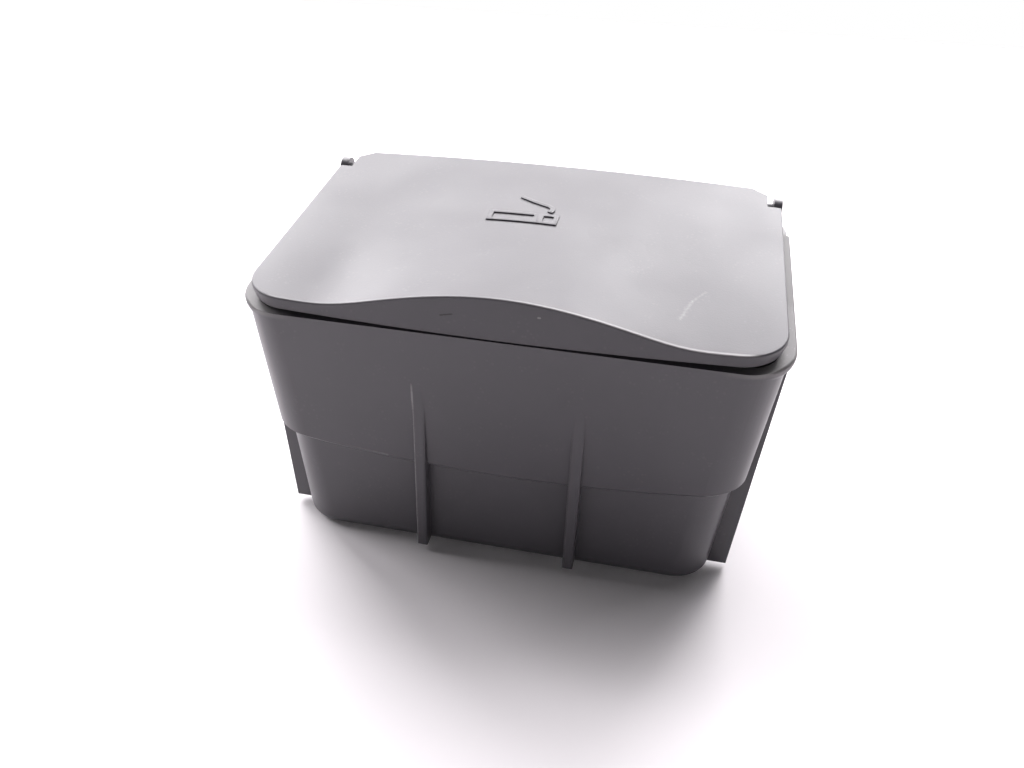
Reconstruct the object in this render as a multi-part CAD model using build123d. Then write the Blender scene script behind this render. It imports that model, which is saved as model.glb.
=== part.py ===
from build123d import *
import os
from math import cos, radians, sin, tan

# Car ashtray insert: a drafted moulded bin with a sloping mouth, a lift-up lid
# on moulded pivot pins, and a pressed-steel stub-out plate slid into the bin.
# Millimetres, +Z up, front towards -Y, origin under the middle of the whole part.

# Main sizes: the widths of the bin and its guides are set out from the lid's sides
lid_width = 106.0
overall_depth = 65.2
bead_overhang = 2.2
shoulder_inset = 2.5
foot_inset = 6.3
fin_overhang_top = 1.9
fin_inset_bottom = 2.2
ear_inset = 1.7

# Bin, outside: the lower walls stand inside the upper walls by a shoulder, which sweeps up to the sides
shoulder_step = 1.6
shoulder_height = 22.3
shoulder_sweep = 4.8
upper_side_draft = 5.4
upper_front_draft = 3.7
upper_rear_draft = 2.6
lower_front_draft = 1.4
lower_rear_draft = 2.6
front_corner_radius = 8.5
rear_corner_radius = 5.5
foot_edge_radius = 3.0
shoulder_chamfer = 1.3
wall = 2.0
floor_thickness = 2.2
floor_edge_radius = 1.5

# Mouth: the rim runs down towards the front
rim_slope = 8.84
rim_height_at_rear = 65.3
bead_thickness = 3.0
bead_top_radius = 0.6
bead_under_radius = 2.0
bead_front_sink = 0.1
rim_setback = 0.3
bead_corner_radius = 10.0
bead_rear_stop = 6.7

# Guides on the outside of the bin
rib_spacing = 33.0
rib_width_top = 2.8
rib_width_bottom = 2.3
rib_front_setback = 1.2
rib_edge_radius = 0.6
guide_ground_clearance = 1.5
fin_setback = 12.7
fin_thickness = 2.0

# Hinge: pins on the lid turn in holes through two ears on the bin
axis_behind_wall = 2.0
axis_above_rim = 1.6
pin_radius = 1.4
pin_clearance = 0.06
knuckle_radius = 1.9
knuckle_length = 7.0
ear_radius = 2.7
ear_thickness = 1.9
ear_foot_depth = 11.0

# Lid
lid_edge_height = 3.4
lid_seat_gap = 0.25
lid_plate = 2.0
lid_skirt = 1.8
skirt_sweep = 0.9
lip_overhang = 0.5
lip_thickness = 1.0
lip_edge_radius = 0.4
lid_corner_radius = 9.0
lid_front_bow = 0.9
lid_notch_gap = 0.4
tab_side_gap = 1.5
tab_reach = 4.8
tab_chamfer_width = 3.4
tab_chamfer_depth = 2.6
brow_height = 5.8
brow_width = 72.0
brow_growth = 1.6
rear_crown = 1.2
crown_stations = 4

# Stub-out plate and the slots that hold it on the rear wall
sheet = 0.8
plate_width = 40.0
shelf_width = 33.0
shelf_depth = 15.0
shelf_height = 37.0
back_height = 18.0
front_lip_drop = 5.0
ridge_height = 1.6
ridge_count = 3
sheet_bend = 1.2
slot_clearance = 0.1
slot_depth = 3.2
guide_block_wall = 1.3
guide_block_depth = 3.6

# Widths and places worked out from the sizes above
bead_width = lid_width + 2 * bead_overhang
shoulder_width = lid_width - 2 * shoulder_inset
foot_width = lid_width - 2 * foot_inset
fin_width_top = lid_width + 2 * fin_overhang_top
fin_width_bottom = lid_width - 2 * fin_inset_bottom
ear_spacing = lid_width - 2 * ear_inset
front_y = -overall_depth / 2
rear_y = overall_depth / 2
slope = tan(radians(rim_slope))
axis_y = rear_y - tab_reach
rear_wall_y = axis_y - axis_behind_wall
notch_y = axis_y - ear_radius - lid_notch_gap
axis_z = rim_height_at_rear + axis_above_rim
mouth_top = rim_height_at_rear + 2 * lid_edge_height
rim_front_y = front_y + rim_setback


def rim_z(y):
    """Height of the bin's rim at a distance y from the middle."""
    return rim_height_at_rear + slope * (y - rear_wall_y)


def lid_z(y):
    """Height of the lid's straight side edges at y."""
    return rim_z(y) + lid_edge_height


def rim_plane(lift=0.0):
    """The sloping plane of the rim, moved straight up by lift."""
    normal = (0, -sin(radians(rim_slope)), cos(radians(rim_slope)))
    return Plane(origin=(0, 0, rim_z(0) + lift), x_dir=(1, 0, 0), z_dir=normal)


def below(shape, lift=0.0):
    """What lies under the rim plane moved up by lift."""
    return split(shape, bisect_by=rim_plane(lift), keep=Keep.BOTTOM)


def leaning_block(low, high, front_radius, rear_radius):
    """Block between two level rectangles (height, half width, front, rear) with rounded uprights."""
    low_z, low_half, low_front, low_rear = low
    high_z, high_half, high_front, high_rear = high
    block = Wedge(
        2 * low_half,
        high_z - low_z,
        low_rear - low_front,
        low_half - high_half,
        low_rear - high_rear,
        low_half + high_half,
        low_rear - high_front,
        align=None,
    )
    block = Pos(-low_half, low_rear, low_z) * Rot(90, 0, 0) * block
    uprights = block.edges().filter_by(lambda edge: low_z + 0.1 < edge.center().Z < high_z - 0.1)
    block = fillet(uprights.sort_by(Axis.Y)[:2], front_radius)
    uprights = block.edges().filter_by(lambda edge: low_z + 0.1 < edge.center().Z < high_z - 0.1)
    return fillet(uprights.sort_by(Axis.Y)[-2:], rear_radius)


def shoulder_front():
    """Front of the upper walls at the shoulder's height."""
    rise = rim_z(rim_front_y) - shoulder_height
    return rim_front_y + rise * tan(radians(upper_front_draft))


def shoulder_rear():
    """Back of the upper walls at the shoulder's height."""
    rise = rim_height_at_rear - shoulder_height
    return rear_wall_y - rise * tan(radians(upper_rear_draft))


def under_sweep(height, sweep, lean):
    """Everything under an arc over the width, sweep higher at the sides, leaning down to the front."""
    half = bead_width / 2
    left = (-half, height + sweep)
    right = (half, height + sweep)
    arc = ThreePointArc(left, (0, height), right)
    frame = Polyline(right, (half, -height), (-half, -height), left)
    section = Plane.XZ.offset(-rear_y) * make_face(arc + frame)
    forward = (0, -cos(radians(lean)), -sin(radians(lean)))
    return extrude(section, overall_depth / cos(radians(lean)), dir=forward)


def bin_block(inset, floor, lift):
    """Lower and upper walls as one block, inset from the outside, its shoulder lifted."""
    level = shoulder_height + lift
    low_top = level + shoulder_sweep + shoulder_step
    high_foot = level - shoulder_step
    high_front = shoulder_front() + inset
    high_rear = shoulder_rear() - inset
    high_half = shoulder_width / 2 - inset
    low_half = high_half - shoulder_step
    side_lean = (shoulder_width / 2 - shoulder_step - foot_width / 2) / shoulder_height

    def lower_level(height):
        rise = height - shoulder_height
        return (
            height,
            low_half + rise * side_lean,
            high_front + shoulder_step - rise * tan(radians(lower_front_draft)),
            high_rear - shoulder_step + rise * tan(radians(lower_rear_draft)),
        )

    def upper_level(height):
        rise = height - shoulder_height
        return (
            height,
            high_half + rise * tan(radians(upper_side_draft)),
            high_front - rise * tan(radians(upper_front_draft)),
            high_rear + rise * tan(radians(upper_rear_draft)),
        )

    front_radius = front_corner_radius - inset
    rear_radius = rear_corner_radius - inset
    lower = leaning_block(lower_level(floor), lower_level(low_top), front_radius, rear_radius)
    upper = leaning_block(upper_level(high_foot), upper_level(mouth_top), front_radius, rear_radius)
    upper -= under_sweep(level, shoulder_sweep, 0.0)
    upper = chamfer(upper.faces().sort_by(Axis.Z)[0].edges(), shoulder_chamfer)
    return lower + upper


def bin_shell():
    """Outside of the bin with its rim bead, ribs, fins and ears, before hollowing."""
    body = bin_block(0.0, 0.0, 0.0)
    body = fillet(body.faces().sort_by(Axis.Z)[0].edges(), foot_edge_radius)
    body = below(body)
    body += rim_bead()
    for side in (-1, 1):
        body += front_rib(side)
        body += side_fin(side)
        body += hinge_ear(side)
    return body


def rim_bead():
    """Rounded bead along both sides that wraps the front corners and sinks into the front wall."""
    stretch = 1 / cos(radians(rim_slope))
    start_y = (rim_front_y + bead_front_sink) * stretch
    end_y = (rear_wall_y - bead_rear_stop) * stretch
    half = bead_width / 2
    corners = [(-half, start_y), (half, start_y), (half, end_y), (-half, end_y)]
    plan = make_face(Polyline(*corners, close=True))
    plan = fillet(plan.vertices().group_by(Axis.Y)[0], bead_corner_radius)
    slab = extrude(rim_plane() * plan, -bead_thickness)
    along = Axis((0, 0, 0), rim_plane().z_dir)
    under = slab.faces().sort_by(along)[0]
    slab = fillet(under.edges().sort_by(Axis.Y)[:-1], bead_under_radius)
    over = slab.faces().sort_by(along)[-1]
    return fillet(over.edges().sort_by(Axis.Y)[:-1], bead_top_radius)


def front_rib(side):
    """Upright rib on the front wall that fades into the upper wall."""
    face_y = front_y + rib_front_setback
    centre = side * rib_spacing / 2
    top = rim_z(face_y) - bead_thickness
    low = guide_ground_clearance
    half_top = rib_width_top / 2
    half_low = rib_width_bottom / 2
    points = [
        (centre - half_low, low),
        (centre + half_low, low),
        (centre + half_top, top),
        (centre - half_top, top),
    ]
    front_view = Plane.XZ.offset(-face_y) * make_face(Polyline(*points, close=True))
    back_y = shoulder_front() + shoulder_step + wall
    rib = extrude(front_view, face_y - back_y)
    nose = rib.faces().sort_by(Axis.Y)[0].edges().sort_by(Axis.Z)[:-1]
    return fillet(nose, rib_edge_radius)


def side_fin(side):
    """Thin upright fin under the bead on one side wall."""
    fin_y = front_y + fin_setback
    top = rim_z(fin_y) - bead_thickness / 2
    low = guide_ground_clearance
    inner = foot_width / 2 - wall
    points = [
        (side * inner, low),
        (side * fin_width_bottom / 2, low),
        (side * fin_width_top / 2, top),
        (side * inner, top),
    ]
    view = Plane.XZ.offset(-fin_y) * make_face(Polyline(*points, close=True))
    return extrude(view, fin_thickness / 2, both=True)


def hinge_ear(side):
    """Round-topped ear behind one rear corner."""
    inner_x = ear_spacing / 2
    foot_z = axis_z - ear_foot_depth
    root_y = rear_wall_y - rear_corner_radius
    front_of_ear = axis_y - ear_radius
    outline = Polyline(
        (axis_y + ear_radius, axis_z),
        (front_of_ear, axis_z),
        (front_of_ear, rim_z(front_of_ear)),
        (root_y, rim_z(root_y)),
        (root_y, foot_z),
        (rear_wall_y, foot_z),
        close=True,
    )
    profile = Plane.YZ * (make_face(outline) + Pos(axis_y, axis_z) * Circle(ear_radius))
    ear = extrude(profile, ear_thickness)
    ear = Pos(inner_x, 0, 0) * ear
    return ear if side > 0 else mirror(ear, Plane.YZ)


def hinge_rod(radius, length):
    """A round bar on the hinge line, centred on the part."""
    return Pos(0, axis_y, axis_z) * Rot(0, 90, 0) * Cylinder(radius, length)


def stub_plate_back_y():
    """Front face of the stub-out plate's upright leg."""
    wall_y = shoulder_rear() + (shelf_height - shoulder_height) * tan(radians(upper_rear_draft)) - wall
    return wall_y - guide_block_wall - slot_clearance - sheet


def slot_block(side):
    """Moulded block on the rear wall with an upright slot for the plate's edge."""
    inner = plate_width / 2 + slot_clearance - slot_depth
    outer = plate_width / 2 + slot_clearance + guide_block_wall
    leg_y = stub_plate_back_y()
    front = leg_y - slot_clearance - guide_block_wall
    back = rear_wall_y
    seat = shelf_height + sheet + sheet_bend
    low = seat - guide_block_depth
    top = seat + back_height / 2
    block = Box(outer - inner, back - front, top - low, align=(Align.MIN, Align.MIN, Align.MIN))
    block = Pos(inner, front, low) * block
    gap = sheet + 2 * slot_clearance
    slot = Box(slot_depth, gap, top - seat, align=(Align.MIN, Align.MIN, Align.MIN))
    block -= Pos(inner, leg_y - slot_clearance, seat) * slot
    return block if side > 0 else mirror(block, Plane.YZ)


def make_bin():
    shell = bin_shell()
    cavity = bin_block(wall, floor_thickness, wall)
    cavity = fillet(cavity.faces().sort_by(Axis.Z)[0].edges(), floor_edge_radius)
    shell -= cavity
    outside = bin_block(0.0, 0.0, 0.0)
    for side in (-1, 1):
        shell += slot_block(side) & outside
    shell -= hinge_rod(pin_radius + pin_clearance, ear_spacing + 4 * ear_thickness)
    return shell


def lid_rise(x, y):
    """Height of the lid's top over its straight side edges."""
    forward = max(0.0, (rear_y - y) / overall_depth)
    across = x / (lid_width / 2)
    crown = rear_crown * max(0.0, 1 - across ** 2)
    inside = min(abs(x) / (brow_width / 2), 1.0)
    brow = brow_height * (1 - inside ** 2) ** 1.5
    return (1 - forward) * crown + forward ** brow_growth * brow


def under_lid_top(drop):
    """Everything under the lid's crowned top, lowered by drop."""
    half = lid_width / 2
    brow = brow_width / 2
    stops = [0, brow / 3, brow * 2 / 3, brow, (brow + half) / 2, half]
    across = [-x for x in reversed(stops[1:])] + stops
    reach = lid_edge_height
    sections = []
    for station in range(crown_stations):
        y = front_y - reach + (overall_depth + 2 * reach) * station / (crown_stations - 1)
        top = [(x, lid_z(y) + lid_rise(x, y) - drop) for x in across]
        start, end = top[0], top[-1]
        curve = Spline(*top)
        frame = Polyline(end, (end[0], 0), (start[0], 0), start)
        sections.append(Plane.XZ.offset(-y) * make_face(curve + frame))
    return loft(sections)


def lid_plan(inset):
    """Plan of the lid: bowed front, notched rear corners and the rear tab."""
    half = lid_width / 2 - inset
    edge_front = front_y + lid_front_bow + inset
    mid_front = front_y + inset
    notch = notch_y - inset
    tab_half = ear_spacing / 2 - tab_side_gap - inset
    tab_end = rear_y - inset
    chamfer_y = tab_end - tab_chamfer_depth
    chamfer_x = tab_half - tab_chamfer_width
    front = ThreePointArc((-half, edge_front), (0, mid_front), (half, edge_front))
    rest = Polyline(
        (half, edge_front),
        (half, notch),
        (tab_half, notch),
        (tab_half, chamfer_y),
        (chamfer_x, tab_end),
        (-chamfer_x, tab_end),
        (-tab_half, chamfer_y),
        (-tab_half, notch),
        (-half, notch),
        (-half, edge_front),
    )
    plan = make_face(front + rest)
    corners = plan.vertices().group_by(Axis.Y)[0]
    return fillet(corners, lid_corner_radius - inset)


def make_lid():
    top = under_lid_top(0.0)
    tall = mouth_top + brow_height
    plate = extrude(lid_plan(0.0), tall) & top
    lip_edges = plate.faces().sort_by(Axis.Z)[-1].edges()
    lip_edges = lip_edges.filter_by(lambda edge: edge.center().Y < notch_y - lid_notch_gap)
    plate = fillet(lip_edges, lip_edge_radius)
    plate -= under_lid_top(lip_thickness)
    skirt = extrude(lid_plan(lip_overhang), tall) & top
    skirt -= under_sweep(rim_z(rear_y) + lid_seat_gap, skirt_sweep, rim_slope)
    hollow = extrude(lid_plan(lip_overhang + lid_skirt), tall) & under_lid_top(lid_plate)
    lid = plate + (skirt - hollow)
    for side in (-1, 1):
        lid += knuckle(side)
    return lid


def knuckle(side):
    """Half-round thickening under the tab's end, with the pivot pin that turns in the ear."""
    tab_end = ear_spacing / 2 - tab_side_gap
    pin_end = ear_spacing / 2 + ear_thickness
    barrel = Cylinder(knuckle_radius, knuckle_length, align=(Align.CENTER, Align.CENTER, Align.MAX))
    pin = Cylinder(pin_radius, pin_end - tab_end, align=(Align.CENTER, Align.CENTER, Align.MIN))
    return Pos(side * tab_end, axis_y, axis_z) * Rot(0, side * 90, 0) * (barrel + pin)


def make_stub_plate():
    """Bent steel strip: upright leg, ridged shelf and turned-down front edge."""
    leg_y = stub_plate_back_y()
    middle_y = leg_y + sheet / 2
    top = shelf_height + back_height
    seat = shelf_height + sheet + sheet_bend
    pitch = shelf_depth / (ridge_count + 1)
    half_ridge = pitch / 3
    points = [(middle_y, top), (middle_y, shelf_height)]
    radii = [sheet_bend + sheet / 2]
    for ridge in range(ridge_count):
        ridge_y = middle_y - pitch * (ridge + 1)
        points.append((ridge_y + half_ridge, shelf_height))
        points.append((ridge_y, shelf_height + ridge_height))
        points.append((ridge_y - half_ridge, shelf_height))
        radii += [sheet, sheet, sheet]
    points.append((middle_y - shelf_depth, shelf_height))
    points.append((middle_y - shelf_depth, shelf_height - front_lip_drop))
    radii.append(sheet_bend + sheet / 2)
    path = FilletPolyline(*points, radius=radii)
    profile = Plane.YZ * trace(path, sheet)
    plate = extrude(profile, shelf_width / 2, both=True)
    wings = Box(plate_width, sheet, top - seat, align=(Align.CENTER, Align.MIN, Align.MIN))
    return plate + Pos(0, leg_y, seat) * wings


if __name__ == "__main__":
    os.makedirs("parts", exist_ok=True)
    ashtray_bin = make_bin()
    export_step(ashtray_bin, "parts/bin.step")
    lid = make_lid()
    export_step(lid, "parts/lid.step")
    stub_plate = make_stub_plate()
    export_step(stub_plate, "parts/stub_plate.step")
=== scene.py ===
# %% [markdown]
# # Car ashtray with a lift-up lid
#
# The object is a drop-in ashtray for a car's console: a dark moulded bin, a crowned lid that
# lifts on two moulded pins, and a bent steel plate inside for stubbing out. The solids come
# from the CAD frame, which also carries the hinge. Here they get their finishes, the raised
# sign on the lid, and a studio with the camera where the photographer stood.
#
# Everything is in metres, +Z up, with the front of the ashtray towards -Y.

# %% Load the frame
import bpy
from math import cos, radians, sin
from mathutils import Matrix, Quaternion, Vector


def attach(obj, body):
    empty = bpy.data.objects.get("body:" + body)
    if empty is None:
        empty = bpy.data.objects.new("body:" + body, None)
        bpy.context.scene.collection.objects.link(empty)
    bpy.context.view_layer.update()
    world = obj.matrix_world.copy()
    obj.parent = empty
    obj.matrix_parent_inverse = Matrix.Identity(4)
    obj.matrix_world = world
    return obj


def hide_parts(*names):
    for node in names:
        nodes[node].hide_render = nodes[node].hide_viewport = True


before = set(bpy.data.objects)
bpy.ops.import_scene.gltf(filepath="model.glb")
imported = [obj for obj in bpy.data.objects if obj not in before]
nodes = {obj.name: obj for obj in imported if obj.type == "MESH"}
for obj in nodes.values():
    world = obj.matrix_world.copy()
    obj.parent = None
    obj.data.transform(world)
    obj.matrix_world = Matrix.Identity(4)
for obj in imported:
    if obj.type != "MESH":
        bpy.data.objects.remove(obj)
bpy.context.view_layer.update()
mm = 0.001

# %% [markdown]
# ## Smooth shading on the moulded shells
#
# The CAD meshes are loose triangles, so a soft corner would show its facets. Marking the mesh
# smooth up to an angle could do it on a joined mesh, but the CAD nodes themselves stay as they
# are. So each shell is copied, the directions that came with its loose triangles are cleared,
# its doubled corners are merged, and the copy is shaded smooth by angle: curved walls flow, and
# real edges stay crisp. A Weighted Normal modifier lets the larger face decide how the light
# turns at a border. Some triangles of the flat walls are very long, and one tilted corner would
# still shade them from end to end, so the corners of every large flat are last of all pinned to
# the flat's own direction. The copy then stands for its node.


# %% Keep large flats flat
def flat_key(mesh, face):
    depth = face.normal.dot(mesh.vertices[face.vertices[0]].co)
    return (*(round(v, 3) for v in face.normal), round(depth / mm, 1))


def pin_flats(shell, smallest_flat):
    mesh = shell.data
    keys = [flat_key(mesh, face) for face in mesh.polygons]
    area = {}
    for face, key in zip(mesh.polygons, keys):
        area[key] = area.get(key, 0) + face.area
    directions = [corner.vector.copy() for corner in mesh.corner_normals]
    for face, key in zip(mesh.polygons, keys):
        if area[key] > smallest_flat:
            for corner in face.loop_indices:
                directions[corner] = face.normal.copy()
    mesh.normals_split_custom_set(directions)
    return sum(1 for key in area if area[key] > smallest_flat)


# %% A merged, smooth copy of a CAD node
merge_within = 0.002 * mm
large_flat = 100 * mm * mm


def smooth_shell(node_name, shown_name, body, edge_angle):
    bpy.ops.object.select_all(action="DESELECT")
    node = nodes[node_name]
    shell = node.copy()
    shell.data = node.data.copy()
    shell.name = shown_name
    bpy.context.scene.collection.objects.link(shell)
    bpy.context.view_layer.objects.active = shell
    shell.select_set(True)
    bpy.ops.mesh.customdata_custom_splitnormals_clear()
    bpy.ops.object.mode_set(mode="EDIT")
    bpy.ops.mesh.select_all(action="SELECT")
    bpy.ops.mesh.remove_doubles(threshold=merge_within)
    bpy.ops.object.mode_set(mode="OBJECT")
    bpy.ops.object.shade_smooth_by_angle(angle=radians(edge_angle))
    flatten = shell.modifiers.new("flat walls", "WEIGHTED_NORMAL")
    flatten.keep_sharp = True
    bpy.ops.object.modifier_apply(modifier=flatten.name)
    flats = pin_flats(shell, large_flat)
    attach(shell, body)
    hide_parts(node_name)
    print(shown_name, len(shell.data.polygons), "faces,", flats, "large flats")
    return shell


shell_edge_angle = 50
bin_shell = smooth_shell("bin", "bin_shell", "bin_body", shell_edge_angle)
lid_shell = smooth_shell("lid", "lid_shell", "lid_body", shell_edge_angle)
plate_shell = smooth_shell("stub_plate", "stub_plate_shell", "bin_body", shell_edge_angle)

# %% [markdown]
# ## The raised sign on the lid
#
# A cigarette with a curl of smoke stands about a quarter of a millimetre proud of the lid, so a
# driver can feel for it. It could be drawn in the material, but a raised sign catches
# light on its front walls, which is what the eye reads. It is modelled flat, then draped: a
# sheet is cut to the sign's outline, projected down on the crowned lid, and given thickness.

# %% Sizes of the sign
sign_left = -10.8 * mm
sign_right = 4.7 * mm
sign_front = 2.2 * mm
sign_rear = 6.9 * mm
sign_stroke = 1.05 * mm
ember_split = 0.35 * mm
smoke_width = 1.2 * mm
smoke_start = Vector((2.3, 8.05)) * mm
smoke_heading = radians(63)
smoke_bend = radians(94)
smoke_bend_radius = 1.9 * mm
smoke_bend_steps = 14
smoke_tail_angle = radians(10)
smoke_tail_radius = 43 * mm
smoke_tail_steps = 10
sign_height = 0.28 * mm
sign_root = 0.15 * mm
sign_softening = 0.08 * mm
sign_edge_angle = 40
above_lid = 90 * mm


# %% Selecting by place
def select_only(piece):
    bpy.ops.object.select_all(action="DESELECT")
    bpy.context.view_layer.objects.active = piece
    piece.select_set(True)


def select_faces(piece, wanted):
    bpy.ops.object.mode_set(mode="EDIT")
    bpy.ops.mesh.select_mode(type="FACE")
    bpy.ops.mesh.select_all(action="DESELECT")
    bpy.ops.object.mode_set(mode="OBJECT")
    for face in piece.data.polygons:
        face.select = wanted(face)
    bpy.ops.object.mode_set(mode="EDIT")


# %% [markdown]
# The cigarette starts as one flat plane of the outer size. A bisect divides it where the ember
# begins, an individual inset draws the stroke round both fields, and the fields are deleted.

# %% The cigarette's outline
bpy.ops.object.select_all(action="DESELECT")
bpy.ops.mesh.primitive_plane_add(size=1)
cigarette = bpy.context.active_object
cigarette.name = "cigarette_sign"
cigarette.scale = (sign_right - sign_left, sign_rear - sign_front, 1)
cigarette.location = ((sign_left + sign_right) / 2, (sign_front + sign_rear) / 2, above_lid)
bpy.ops.object.transform_apply(location=True, rotation=True, scale=True)
bpy.ops.object.mode_set(mode="EDIT")
bpy.ops.mesh.select_all(action="SELECT")
bpy.ops.mesh.bisect(plane_co=(ember_split, 0, 0), plane_no=(1, 0, 0))
bpy.ops.mesh.select_all(action="SELECT")
bpy.ops.mesh.inset(thickness=sign_stroke, use_boundary=True, use_individual=True)
bpy.ops.object.mode_set(mode="OBJECT")
field_depth = sign_rear - sign_front - 2 * sign_stroke


def is_field(face):
    corners = [cigarette.data.vertices[i].co for i in face.vertices]
    depth = max(c.y for c in corners) - min(c.y for c in corners)
    middle = abs(face.center.y - (sign_front + sign_rear) / 2)
    width = max(c.x for c in corners) - min(c.x for c in corners)
    return middle < 0.1 * mm and abs(depth - field_depth) < 0.1 * mm and width > sign_stroke * 1.2


select_faces(cigarette, is_field)
bpy.ops.mesh.delete(type="FACE")
bpy.ops.object.mode_set(mode="OBJECT")
print("Cigarette outline:", len(cigarette.data.polygons), "faces")

# %% [markdown]
# The smoke is a band of one width: a short first quad, then two turns with the spin operator,
# a tight one to the left and a long slow one back. Spin turns the end edge about a centre, as
# a hand with a compass would; a minus angle turns it to the left.


# %% The curl of smoke
def end_edge(piece, start, heading, reach):
    bpy.ops.object.mode_set(mode="EDIT")
    bpy.ops.mesh.select_mode(type="EDGE")
    bpy.ops.mesh.select_all(action="DESELECT")
    bpy.ops.object.mode_set(mode="OBJECT")
    along = Vector((cos(heading), sin(heading)))
    for edge in piece.data.edges:
        ends = [piece.data.vertices[i].co.xy for i in edge.vertices]
        level = all(abs((end - start).dot(along)) < 0.02 * mm for end in ends)
        edge.select = level and all((end - start).length < reach for end in ends)
    bpy.ops.object.mode_set(mode="EDIT")


bpy.ops.object.select_all(action="DESELECT")
bpy.ops.mesh.primitive_plane_add(size=1)
smoke = bpy.context.active_object
smoke.name = "smoke_curl"
first_step = 0.5 * mm
smoke.scale = (first_step, smoke_width, 1)
along = Vector((cos(smoke_heading), sin(smoke_heading)))
middle = smoke_start + along * first_step / 2
smoke.location = (middle.x, middle.y, above_lid)
smoke.rotation_euler = (0, 0, smoke_heading)
bpy.ops.object.transform_apply(location=True, rotation=True, scale=True)
tip = smoke_start + along * first_step
left_of = Vector((-along.y, along.x))
bend_centre = tip + left_of * smoke_bend_radius
end_edge(smoke, tip, smoke_heading, smoke_width)
bpy.ops.mesh.spin(
    steps=smoke_bend_steps, angle=-smoke_bend,
    center=(bend_centre.x, bend_centre.y, above_lid), axis=(0, 0, 1))
bpy.ops.object.mode_set(mode="OBJECT")
heading = smoke_heading + smoke_bend
tip = bend_centre + Vector((sin(heading), -cos(heading))) * smoke_bend_radius
right_of = Vector((sin(heading), -cos(heading)))
tail_centre = tip + right_of * smoke_tail_radius
end_edge(smoke, tip, heading, smoke_width)
bpy.ops.mesh.spin(
    steps=smoke_tail_steps, angle=smoke_tail_angle,
    center=(tail_centre.x, tail_centre.y, above_lid), axis=(0, 0, 1))
bpy.ops.object.mode_set(mode="OBJECT")
print("Smoke curl:", len(smoke.data.polygons), "faces, box", [round(v / mm, 1) for v in smoke.dimensions])

# %% [markdown]
# Both sheets are joined and cut fine enough to bend. A Shrinkwrap projects them straight down
# on the lid, a Solidify gives the height, and a small Bevel softens the top edges.

# %% Drape the sign on the lid
select_only(cigarette)
smoke.select_set(True)
bpy.ops.object.join()
bpy.ops.object.mode_set(mode="EDIT")
bpy.ops.mesh.select_all(action="SELECT")
bpy.ops.mesh.remove_doubles(threshold=0.01 * mm)
for cut in range(-10, 5):
    bpy.ops.mesh.select_all(action="SELECT")
    bpy.ops.mesh.bisect(plane_co=(cut * mm, 0, 0), plane_no=(1, 0, 0))
bpy.ops.mesh.select_all(action="SELECT")
bpy.ops.mesh.normals_make_consistent(inside=False)
bpy.ops.object.mode_set(mode="OBJECT")
sign = bpy.context.active_object
if sign.data.polygons[0].normal.z < 0:
    bpy.ops.object.mode_set(mode="EDIT")
    bpy.ops.mesh.select_all(action="SELECT")
    bpy.ops.mesh.flip_normals()
    bpy.ops.object.mode_set(mode="OBJECT")
drape = sign.modifiers.new("drape", "SHRINKWRAP")
drape.target = lid_shell
drape.wrap_method = "PROJECT"
drape.use_project_z = True
drape.use_negative_direction = True
drape.use_positive_direction = False
bpy.ops.object.modifier_apply(modifier=drape.name)
bpy.ops.object.mode_set(mode="EDIT")
bpy.ops.mesh.select_all(action="SELECT")
bpy.ops.transform.translate(value=(0, 0, -sign_root))
bpy.ops.object.mode_set(mode="OBJECT")
height = sign.modifiers.new("height", "SOLIDIFY")
height.thickness = sign_height + sign_root
height.offset = 1
bpy.ops.object.modifier_apply(modifier=height.name)
soft = sign.modifiers.new("soft", "BEVEL")
soft.width = sign_softening
soft.segments = 2
soft.limit_method = "ANGLE"
soft.angle_limit = radians(shell_edge_angle)
bpy.ops.object.modifier_apply(modifier=soft.name)
bpy.ops.object.shade_smooth_by_angle(angle=radians(sign_edge_angle))
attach(sign, "lid_body")
sign_top = max(corner.co.z for corner in sign.data.vertices)
print("Sign:", len(sign.data.polygons), "faces, top at", round(sign_top / mm, 1), "mm")

# %% [markdown]
# ## Finishes
#
# The bin and the lid are one dark-grey plastic with a fine moulded grain. Years in a car have
# left a pale scratch on the lid, a few scuffs and some dust in the corners; a few edges are
# tinted pale, partly as wear and partly as painted highlights. Three effects are shared by both
# mouldings, so each is a node group: the grain, a stroke mask for scratches, scuffs and painted
# edge highlights, and dust specks.


# %% Helpers for node trees
def add_node(tree, kind, **settings):
    node = tree.nodes.new(kind)
    for name, value in settings.items():
        setattr(node, name, value)
    return node


def wire(tree, start, end):
    tree.links.new(start, end)


# %% [markdown]
# The grain is two layers of noise: spark-eroded pits a few tenths of a millimetre across, and
# a slow mottle where the mould filled unevenly. The group puts out a height for the bump and a
# mottle between 0 and 1.

# %% Group: moulded grain
grain = bpy.data.node_groups.new("moulded grain", "ShaderNodeTree")
grain.interface.new_socket("Pits per metre", in_out="INPUT", socket_type="NodeSocketFloat")
grain.interface.new_socket("Mottle per metre", in_out="INPUT", socket_type="NodeSocketFloat")
grain.interface.new_socket("Height", in_out="OUTPUT", socket_type="NodeSocketFloat")
grain.interface.new_socket("Mottle", in_out="OUTPUT", socket_type="NodeSocketFloat")
grain_in = add_node(grain, "NodeGroupInput")
grain_out = add_node(grain, "NodeGroupOutput")
place = add_node(grain, "ShaderNodeTexCoord")
pits = add_node(grain, "ShaderNodeTexNoise")
pits.inputs["Detail"].default_value = 3
pits.inputs["Roughness"].default_value = 0.6
mottle = add_node(grain, "ShaderNodeTexNoise")
mottle.inputs["Detail"].default_value = 4
wire(grain, place.outputs["Object"], pits.inputs["Vector"])
wire(grain, place.outputs["Object"], mottle.inputs["Vector"])
wire(grain, grain_in.outputs["Pits per metre"], pits.inputs["Scale"])
wire(grain, grain_in.outputs["Mottle per metre"], mottle.inputs["Scale"])
wire(grain, pits.outputs["Fac"], grain_out.inputs["Height"])
wire(grain, mottle.outputs["Fac"], grain_out.inputs["Mottle"])
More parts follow.
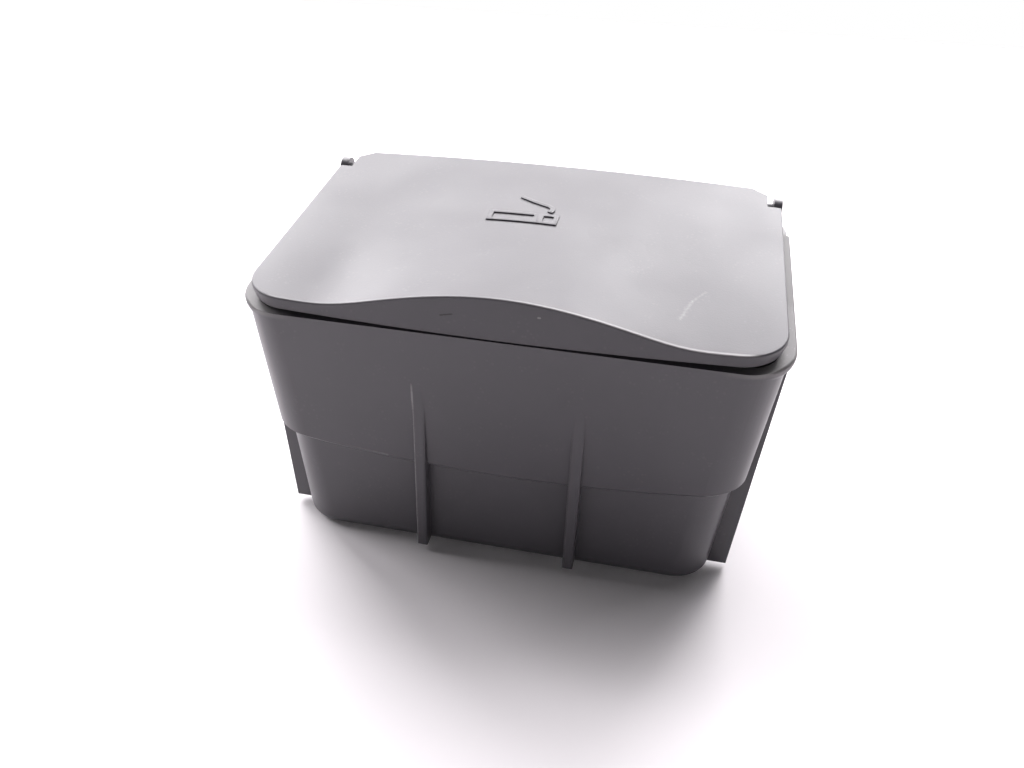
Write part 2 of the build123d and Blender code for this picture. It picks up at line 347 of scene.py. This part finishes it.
print("Group:", grain.name)

# %% [markdown]
# A scratch is a line from one point to another with a soft, broken edge; the same line also
# places painted highlights along edges. The group measures how far each point of the surface
# lies from that line: the nearest place along the line is found with a dot product, held
# between the two ends, and noise roughens the edge.

# %% Group: stroke mask for scratches, scuffs and painted highlights
stroke = bpy.data.node_groups.new("rubbed stroke", "ShaderNodeTree")
stroke.interface.new_socket("From", in_out="INPUT", socket_type="NodeSocketVector")
stroke.interface.new_socket("Reach", in_out="INPUT", socket_type="NodeSocketVector")
stroke.interface.new_socket("Half width", in_out="INPUT", socket_type="NodeSocketFloat")
stroke.interface.new_socket("Break-up", in_out="INPUT", socket_type="NodeSocketFloat")
stroke.interface.new_socket("Mask", in_out="OUTPUT", socket_type="NodeSocketFloat")
stroke_in = add_node(stroke, "NodeGroupInput")
stroke_out = add_node(stroke, "NodeGroupOutput")
place = add_node(stroke, "ShaderNodeTexCoord")
offset = add_node(stroke, "ShaderNodeVectorMath", operation="SUBTRACT")
travel = add_node(stroke, "ShaderNodeVectorMath", operation="DOT_PRODUCT")
length2 = add_node(stroke, "ShaderNodeVectorMath", operation="DOT_PRODUCT")
part_way = add_node(stroke, "ShaderNodeMath", operation="DIVIDE", use_clamp=True)
nearest = add_node(stroke, "ShaderNodeVectorMath", operation="SCALE")
away = add_node(stroke, "ShaderNodeVectorMath", operation="DISTANCE")
tatter = add_node(stroke, "ShaderNodeTexNoise")
tatter.inputs["Scale"].default_value = 1800
tatter.inputs["Detail"].default_value = 2
ragged = add_node(stroke, "ShaderNodeMath", operation="MULTIPLY_ADD")
ratio = add_node(stroke, "ShaderNodeMath", operation="DIVIDE")
fade = add_node(stroke, "ShaderNodeMapRange", clamp=True)
fade.inputs["From Min"].default_value = 1.0
fade.inputs["From Max"].default_value = 0.45
wire(stroke, place.outputs["Object"], offset.inputs[0])
wire(stroke, stroke_in.outputs["From"], offset.inputs[1])
wire(stroke, offset.outputs["Vector"], travel.inputs[0])
wire(stroke, stroke_in.outputs["Reach"], travel.inputs[1])
wire(stroke, stroke_in.outputs["Reach"], length2.inputs[0])
wire(stroke, stroke_in.outputs["Reach"], length2.inputs[1])
wire(stroke, travel.outputs["Value"], part_way.inputs[0])
wire(stroke, length2.outputs["Value"], part_way.inputs[1])
wire(stroke, stroke_in.outputs["Reach"], nearest.inputs[0])
wire(stroke, part_way.outputs[0], nearest.inputs["Scale"])
wire(stroke, offset.outputs["Vector"], away.inputs[0])
wire(stroke, nearest.outputs["Vector"], away.inputs[1])
wire(stroke, away.outputs["Value"], ratio.inputs[0])
wire(stroke, stroke_in.outputs["Half width"], ratio.inputs[1])
wire(stroke, place.outputs["Object"], tatter.inputs["Vector"])
wire(stroke, tatter.outputs["Fac"], ragged.inputs[0])
wire(stroke, stroke_in.outputs["Break-up"], ragged.inputs[1])
wire(stroke, ratio.outputs[0], ragged.inputs[2])
wire(stroke, ragged.outputs[0], fade.inputs["Value"])
wire(stroke, fade.outputs["Result"], stroke_out.inputs["Mask"])
print("Group:", stroke.name)


# %% [markdown]
# Dust lies as single pale specks. They are the cells of a Voronoi texture: near the middle of
# a cell the distance is small, and a narrow range of it makes a dot. A noise leaves most of the
# cells empty, so the specks stand in loose groups.

# %% Group: dust specks
dust = bpy.data.node_groups.new("dust specks", "ShaderNodeTree")
dust.interface.new_socket("Specks per metre", in_out="INPUT", socket_type="NodeSocketFloat")
dust.interface.new_socket("Groups per metre", in_out="INPUT", socket_type="NodeSocketFloat")
dust.interface.new_socket("Mask", in_out="OUTPUT", socket_type="NodeSocketFloat")
dust_in = add_node(dust, "NodeGroupInput")
dust_out = add_node(dust, "NodeGroupOutput")
place = add_node(dust, "ShaderNodeTexCoord")
cells = add_node(dust, "ShaderNodeTexVoronoi")
dot = add_node(dust, "ShaderNodeMapRange", clamp=True)
dot.inputs["From Min"].default_value = 0.30
dot.inputs["From Max"].default_value = 0.18
gathered = add_node(dust, "ShaderNodeTexNoise")
here = add_node(dust, "ShaderNodeMapRange", clamp=True)
here.inputs["From Min"].default_value = 0.50
here.inputs["From Max"].default_value = 0.62
both = add_node(dust, "ShaderNodeMath", operation="MULTIPLY")
wire(dust, place.outputs["Object"], cells.inputs["Vector"])
wire(dust, place.outputs["Object"], gathered.inputs["Vector"])
wire(dust, dust_in.outputs["Specks per metre"], cells.inputs["Scale"])
wire(dust, dust_in.outputs["Groups per metre"], gathered.inputs["Scale"])
wire(dust, cells.outputs["Distance"], dot.inputs["Value"])
wire(dust, gathered.outputs["Fac"], here.inputs["Value"])
wire(dust, dot.outputs["Result"], both.inputs[0])
wire(dust, here.outputs["Result"], both.inputs[1])
wire(dust, both.outputs[0], dust_out.inputs["Mask"])
print("Group:", dust.name)


# %% [markdown]
# The plastic itself is a Principled BSDF: nearly black, satin, with the grain as bump. The
# mottle shifts the colour and the gloss a little, so a large flat wall is never one flat tone.
# Marks are then laid over the tone one by one, each a Mix node that lets a mask bring in a tint.

# %% Moulded plastic
def moulded_plastic(name, dark, light, gloss_low, gloss_high, grain_depth):
    finish = bpy.data.materials.new(name)
    finish.use_nodes = True
    tree = finish.node_tree
    shader = tree.nodes["Principled BSDF"]
    shader.inputs["IOR"].default_value = 1.5
    surface = add_node(tree, "ShaderNodeGroup", node_tree=grain)
    surface.inputs["Pits per metre"].default_value = 2600
    surface.inputs["Mottle per metre"].default_value = 70
    tone = add_node(tree, "ShaderNodeMix", data_type="RGBA")
    tone.inputs["A"].default_value = (*dark, 1)
    tone.inputs["B"].default_value = (*light, 1)
    dull = add_node(tree, "ShaderNodeMapRange")
    dull.inputs["From Min"].default_value = 0.3
    dull.inputs["From Max"].default_value = 0.7
    dull.inputs["To Min"].default_value = gloss_low
    dull.inputs["To Max"].default_value = gloss_high
    bump = add_node(tree, "ShaderNodeBump")
    bump.inputs["Strength"].default_value = 0.35
    bump.inputs["Distance"].default_value = grain_depth
    wire(tree, surface.outputs["Mottle"], tone.inputs["Factor"])
    wire(tree, tone.outputs["Result"], shader.inputs["Base Color"])
    wire(tree, surface.outputs["Mottle"], dull.inputs["Value"])
    wire(tree, dull.outputs["Result"], shader.inputs["Roughness"])
    wire(tree, surface.outputs["Height"], bump.inputs["Height"])
    wire(tree, bump.outputs["Normal"], shader.inputs["Normal"])
    print("Finish:", name)
    return finish


def lay_over(finish, mask, tint, strength):
    tree = finish.node_tree
    colour = tree.nodes["Principled BSDF"].inputs["Base Color"]
    under = colour.links[0].from_socket
    amount = add_node(tree, "ShaderNodeMath", operation="MULTIPLY", use_clamp=True)
    amount.inputs[1].default_value = strength
    over = add_node(tree, "ShaderNodeMix", data_type="RGBA")
    over.inputs["B"].default_value = (*tint, 1)
    wire(tree, mask, amount.inputs[0])
    wire(tree, amount.outputs[0], over.inputs["Factor"])
    wire(tree, under, over.inputs["A"])
    wire(tree, over.outputs["Result"], colour)


# A soft line mask: it places scratches and scuffs, and painted highlights along edges.
def stroke_mask(finish, start, end, half_width, break_up):
    mark = add_node(finish.node_tree, "ShaderNodeGroup", node_tree=stroke)
    mark.inputs["From"].default_value = Vector(start) * mm
    mark.inputs["Reach"].default_value = (Vector(end) - Vector(start)) * mm
    mark.inputs["Half width"].default_value = half_width * mm
    mark.inputs["Break-up"].default_value = break_up
    return mark.outputs["Mask"]


deep_grey = (0.060, 0.056, 0.064)
worn_grey = (0.072, 0.067, 0.077)
bin_finish = moulded_plastic("bin plastic", deep_grey, worn_grey, 0.36, 0.41, 0.03 * mm)
lid_finish = moulded_plastic("lid plastic", deep_grey, worn_grey, 0.46, 0.51, 0.05 * mm)

# %% [markdown]
# The lid's marks: a pale scratch with a kink near its front right corner, a dark scuff and a
# chip on the brow, and a broad darker patch right of the sign. All places are in millimetres.

# %% Marks on the lid
pale = (0.42, 0.40, 0.41)
dark_tint = (0.012, 0.011, 0.013)
scratch_kink = (34.79, -17.09, 62.26)
scratch = stroke_mask(lid_finish, (32.84, -23.45, 61.46), scratch_kink, 1.3, 1.2)
scratch_end = stroke_mask(lid_finish, scratch_kink, (37.31, -13.01, 62.85), 0.9, 1.2)
scuff = stroke_mask(lid_finish, (-11.41, -32.05, 60.55), (-9.1, -32.05, 61.05), 0.3, 0.6)
chip = stroke_mask(lid_finish, (7.3, -32.05, 62.45), (7.6, -32.05, 62.45), 0.3, 0.2)
darker_patch = stroke_mask(lid_finish, (18, 0, 66.5), (34, 1, 66.0), 11, 0.9)
lay_over(lid_finish, scratch, pale, 0.16)
lay_over(lid_finish, scratch_end, pale, 0.12)
lay_over(lid_finish, scuff, dark_tint, 0.8)
lay_over(lid_finish, chip, pale, 0.35)
# A broad patch right of the sign is tinted a little darker.
lay_over(lid_finish, darker_patch, dark_tint, 0.10)
print("Marks on the lid: scratch, scuff, chip, smear")

# %% [markdown]
# Fingers lift the lid by its front lip, and its upper edge is tinted pale, most of all on the
# right: partly wear from the fingers, partly a painted highlight where the rounded edge catches
# the light. The edge is where the lid reaches furthest forward and still faces up. Its front
# bows, so the bow is taken off the distance first; the facing comes from the object's own
# normal, which stays with the lid when it swings.

# %% Pale lip edge: wear and painted highlight
tree = lid_finish.node_tree
lip_bow = 0.3204
place = add_node(tree, "ShaderNodeTexCoord")
along = add_node(tree, "ShaderNodeSeparateXYZ")
across = add_node(tree, "ShaderNodeMath", operation="MULTIPLY")
bowed = add_node(tree, "ShaderNodeMath", operation="MULTIPLY")
bowed.inputs[1].default_value = lip_bow
forward = add_node(tree, "ShaderNodeMath", operation="SUBTRACT")
lip = add_node(tree, "ShaderNodeMapRange", clamp=True)
lip.inputs["From Min"].default_value = 31.7 * mm
lip.inputs["From Max"].default_value = 32.2 * mm
facing = add_node(tree, "ShaderNodeSeparateXYZ")
upward = add_node(tree, "ShaderNodeMapRange", clamp=True)
upward.inputs["From Min"].default_value = 0.35
upward.inputs["From Max"].default_value = 0.75
upper_edge = add_node(tree, "ShaderNodeMath", operation="MULTIPLY")
right_side = add_node(tree, "ShaderNodeMapRange", clamp=True)
right_side.inputs["From Min"].default_value = -6 * mm
right_side.inputs["From Max"].default_value = 16 * mm
right_side.inputs["To Min"].default_value = 0.15
lip_wear_and_highlight = add_node(tree, "ShaderNodeMath", operation="MULTIPLY")
wire(tree, place.outputs["Object"], along.inputs["Vector"])
wire(tree, along.outputs["X"], across.inputs[0])
wire(tree, along.outputs["X"], across.inputs[1])
wire(tree, across.outputs[0], bowed.inputs[0])
wire(tree, bowed.outputs[0], forward.inputs[0])
wire(tree, along.outputs["Y"], forward.inputs[1])
wire(tree, forward.outputs[0], lip.inputs["Value"])
wire(tree, along.outputs["X"], right_side.inputs["Value"])
wire(tree, place.outputs["Normal"], facing.inputs["Vector"])
wire(tree, facing.outputs["Z"], upward.inputs["Value"])
wire(tree, lip.outputs["Result"], upper_edge.inputs[0])
wire(tree, upward.outputs["Result"], upper_edge.inputs[1])
wire(tree, upper_edge.outputs[0], lip_wear_and_highlight.inputs[0])
wire(tree, right_side.outputs["Result"], lip_wear_and_highlight.inputs[1])
# Painted highlight and wear: the upper front edge of the lid is tinted pale.
lay_over(lid_finish, lip_wear_and_highlight.outputs[0], pale, 0.6)
print("Rubbed lip on the lid")

# %% [markdown]
# The rim has never been wiped where it reaches out past the lid, along the sides and round the
# front corners: a film of dust makes it paler and duller than the walls. Its height falls
# towards the front with the slope of the mouth, so a plane under the rim's edge parts it from
# the walls below. Above it the gloss and the tone change, as far back as the rim goes; the
# front run and the hinge ears stay as they are.

# %% Dull rim on the bin
tree = bin_finish.node_tree
rim_slope = 0.1555
rim_at_middle = 61.29 * mm
film_reach = 1.2 * mm
film_full = 0.5 * mm
rim_roughness = 0.55
place = add_node(tree, "ShaderNodeTexCoord")
along = add_node(tree, "ShaderNodeSeparateXYZ")
sloped = add_node(tree, "ShaderNodeMath", operation="MULTIPLY_ADD")
sloped.inputs[1].default_value = -rim_slope
on_rim = add_node(tree, "ShaderNodeMapRange", clamp=True)
on_rim.inputs["From Min"].default_value = rim_at_middle - film_reach
on_rim.inputs["From Max"].default_value = rim_at_middle - film_full
before_ears = add_node(tree, "ShaderNodeMapRange", clamp=True)
before_ears.inputs["From Min"].default_value = 20.5 * mm
before_ears.inputs["From Max"].default_value = 19.0 * mm
sideways = add_node(tree, "ShaderNodeMath", operation="ABSOLUTE")
at_sides = add_node(tree, "ShaderNodeMapRange", clamp=True)
at_sides.inputs["From Min"].default_value = 41 * mm
at_sides.inputs["From Max"].default_value = 49 * mm
side_rim = add_node(tree, "ShaderNodeMath", operation="MULTIPLY")
film = add_node(tree, "ShaderNodeMath", operation="MULTIPLY")
dull_rim = add_node(tree, "ShaderNodeMix", data_type="FLOAT")
dull_rim.inputs["B"].default_value = rim_roughness
gloss = tree.nodes["Principled BSDF"].inputs["Roughness"]
wire(tree, place.outputs["Object"], along.inputs["Vector"])
wire(tree, along.outputs["Y"], sloped.inputs[0])
wire(tree, along.outputs["Z"], sloped.inputs[2])
wire(tree, sloped.outputs[0], on_rim.inputs["Value"])
wire(tree, along.outputs["Y"], before_ears.inputs["Value"])
wire(tree, along.outputs["X"], sideways.inputs[0])
wire(tree, sideways.outputs[0], at_sides.inputs["Value"])
wire(tree, on_rim.outputs["Result"], side_rim.inputs[0])
wire(tree, at_sides.outputs["Result"], side_rim.inputs[1])
wire(tree, side_rim.outputs[0], film.inputs[0])
wire(tree, before_ears.outputs["Result"], film.inputs[1])
wire(tree, film.outputs[0], dull_rim.inputs["Factor"])
wire(tree, gloss.links[0].from_socket, dull_rim.inputs["A"])
wire(tree, dull_rim.outputs["Result"], gloss)
dust_film = (0.155, 0.148, 0.148)
lay_over(bin_finish, film.outputs[0], dust_film, 0.8)
print("Dull rim on the bin")

# %% [markdown]
# The bin has been pulled out of its well and pushed back many times. The left rib's edge and
# the left run of the shoulder are tinted pale, partly rubbed wear and partly a painted highlight
# where their rounded edges catch the light, and dust has settled on the right rim corner.

# %% Marks, dust and painted edge highlights on the bin
rib_edge_wear_and_highlight = stroke_mask(bin_finish, (-17.75, -31.3, 44), (-17.6, -31.3, 2), 0.4, 0.5)
shoulder_wear_and_highlight = stroke_mask(bin_finish, (-43.5, -29.75, 26.5), (-24, -30.1, 24.5), 0.5, 0.5)
# Painted highlights and wear: the left rib's edge and the shoulder's left run are tinted pale.
lay_over(bin_finish, rib_edge_wear_and_highlight, pale, 0.35)
lay_over(bin_finish, shoulder_wear_and_highlight, pale, 0.3)


def dusty(finish, specks, groups):
    layer = add_node(finish.node_tree, "ShaderNodeGroup", node_tree=dust)
    layer.inputs["Specks per metre"].default_value = specks
    layer.inputs["Groups per metre"].default_value = groups
    return layer.outputs["Mask"]


rim_corner = stroke_mask(bin_finish, (53.5, -24, 57), (55.2, -12, 58.6), 6, 0.4)
corner = add_node(tree, "ShaderNodeMath", operation="MULTIPLY")
corner_dust = add_node(tree, "ShaderNodeMath", operation="MULTIPLY")
wire(tree, rim_corner, corner.inputs[0])
wire(tree, film.outputs[0], corner.inputs[1])
wire(tree, dusty(bin_finish, 2200, 500), corner_dust.inputs[0])
wire(tree, corner.outputs[0], corner_dust.inputs[1])
lay_over(bin_finish, corner.outputs[0], pale, 0.22)
lay_over(bin_finish, corner_dust.outputs[0], pale, 0.7)
lay_over(bin_finish, dusty(bin_finish, 900, 160), pale, 0.025)
lay_over(lid_finish, dusty(lid_finish, 900, 160), pale, 0.03)
print("Marks and dust on the bin and the lid")

# %% [markdown]
# The stub-out plate is bright sheet steel, rolled lengthways: fine lines along X from a noise
# that is stretched that way, and a slightly uneven gloss.

# %% Rolled steel for the stub-out plate
steel = bpy.data.materials.new("plate steel")
steel.use_nodes = True
tree = steel.node_tree
shader = tree.nodes["Principled BSDF"]
shader.inputs["Metallic"].default_value = 1.0
place = add_node(tree, "ShaderNodeTexCoord")
stretch = add_node(tree, "ShaderNodeMapping")
stretch.inputs["Scale"].default_value = (60, 4000, 4000)
lines = add_node(tree, "ShaderNodeTexNoise")
lines.inputs["Scale"].default_value = 1.0
lines.inputs["Detail"].default_value = 3
tone = add_node(tree, "ShaderNodeMix", data_type="RGBA")
tone.inputs["A"].default_value = (0.42, 0.41, 0.40, 1)
tone.inputs["B"].default_value = (0.58, 0.57, 0.56, 1)
dull = add_node(tree, "ShaderNodeMapRange")
dull.inputs["To Min"].default_value = 0.28
dull.inputs["To Max"].default_value = 0.44
wire(tree, place.outputs["Object"], stretch.inputs["Vector"])
wire(tree, stretch.outputs["Vector"], lines.inputs["Vector"])
wire(tree, lines.outputs["Fac"], tone.inputs["Factor"])
wire(tree, tone.outputs["Result"], shader.inputs["Base Color"])
wire(tree, lines.outputs["Fac"], dull.inputs["Value"])
wire(tree, dull.outputs["Result"], shader.inputs["Roughness"])
print("Finish:", steel.name)


# %% Give each piece its finish
def give(piece, finish):
    piece.data.materials.clear()
    piece.data.materials.append(finish)


give(bin_shell, bin_finish)
give(lid_shell, lid_finish)
give(sign, lid_finish)
give(plate_shell, steel)

# %% [markdown]
# ## Studio
#
# The photograph is lit from behind by broad windows: the lid's top shines, the front stays in
# its own shade, and the floor burns out to white. A plain pale floor and a ring of soft square
# panes give the same. One large light would be simpler, but with single panes the shadow in
# front and the sheen on the lid can each be tuned on their own.

# %% Floor
bpy.ops.object.select_all(action="DESELECT")
bpy.ops.mesh.primitive_plane_add(size=1.5)
floor = bpy.context.active_object
floor.name = "floor"
paper = bpy.data.materials.new("pale floor")
paper.use_nodes = True
paper_shader = paper.node_tree.nodes["Principled BSDF"]
paper_shader.inputs["Base Color"].default_value = (0.86, 0.83, 0.85, 1)
paper_shader.inputs["Roughness"].default_value = 0.7
floor.data.materials.append(paper)
print("Floor", floor.dimensions.x, "m wide")


# %% Lights
pane_aim = Vector((0, 0, 40)) * mm
pane_distance = 1.7


def soft_pane(name, azimuth, elevation, side, power):
    turn = radians(azimuth)
    rise = radians(elevation)
    away = Vector((sin(turn) * cos(rise), cos(turn) * cos(rise), sin(rise)))
    bpy.ops.object.light_add(type="AREA", location=pane_aim + away * pane_distance)
    pane = bpy.context.active_object
    pane.name = name
    pane.data.shape = "SQUARE"
    pane.data.size = side
    pane.data.energy = power
    pane.data.color = (1, 0.98, 1)
    pane.rotation_mode = "QUATERNION"
    pane.rotation_quaternion = (-away).to_track_quat("-Z", "Y")
    pane.visible_camera = False
    print(name, power, "W")


soft_pane("left window", -80, 32, 0.7, 18.5)
soft_pane("back left window", -45, 32, 0.7, 26)
soft_pane("back window", -15, 32, 0.7, 15)
soft_pane("back right window", 15, 32, 0.7, 24)
soft_pane("right window", 45, 32, 0.7, 5)
soft_pane("high left", -50, 58, 0.7, 9)
soft_pane("high right", 22, 58, 0.7, 12)
soft_pane("low back left", -50, 10, 0.5, 5.2)
soft_pane("low back right", 25, 10, 0.5, 7.4)
soft_pane("low right", 110, 10, 0.5, 1.8)
soft_pane("low left", -110, 10, 0.5, 2.0)
soft_pane("low front left", -150, 10, 0.5, 1.8)
soft_pane("low front right", 150, 10, 0.5, 0.8)

# %% [markdown]
# Beyond the floor the surround is plain white for the camera, but it gives almost no light,
# because the windows do that. A Light Path node tells the two uses of the surround apart.

# %% White surround
world = bpy.data.worlds.new("white surround")
bpy.context.scene.world = world
world.use_nodes = True
tree = world.node_tree
surround = tree.nodes["Background"]
surround.inputs["Color"].default_value = (1, 1, 1, 1)
ray = add_node(tree, "ShaderNodeLightPath")
glow = add_node(tree, "ShaderNodeMapRange")
glow.inputs["To Min"].default_value = 0.03
glow.inputs["To Max"].default_value = 1.0
wire(tree, ray.outputs["Is Camera Ray"], glow.inputs["Value"])
wire(tree, glow.outputs["Result"], surround.inputs["Strength"])
bpy.context.scene.view_settings.view_transform = "Standard"
print("Surround:", world.name)

# %% [markdown]
# ## Camera
#
# The photographer held the camera above the front right corner, quite close, turned slightly.
# Its place, aim and lens were worked out from the ashtray's corners in the photograph.

# %% Camera
camera_place = Vector((28.87, -170.72, 133.66)) * mm
camera_aim = Vector((-2.61, -2.93, 29.46)) * mm
camera_roll = radians(2.18)
bpy.ops.object.camera_add(location=camera_place)
camera = bpy.context.active_object
camera.data.sensor_width = 36
camera.data.lens = 30.05
camera.data.clip_start = 10 * mm
camera.rotation_mode = "QUATERNION"
look = (camera_aim - camera_place).to_track_quat("-Z", "Y")
camera.rotation_quaternion = look @ Quaternion((0, 0, 1), camera_roll)
bpy.context.scene.camera = camera
print("Camera", [round(v / mm) for v in camera_place], "mm")
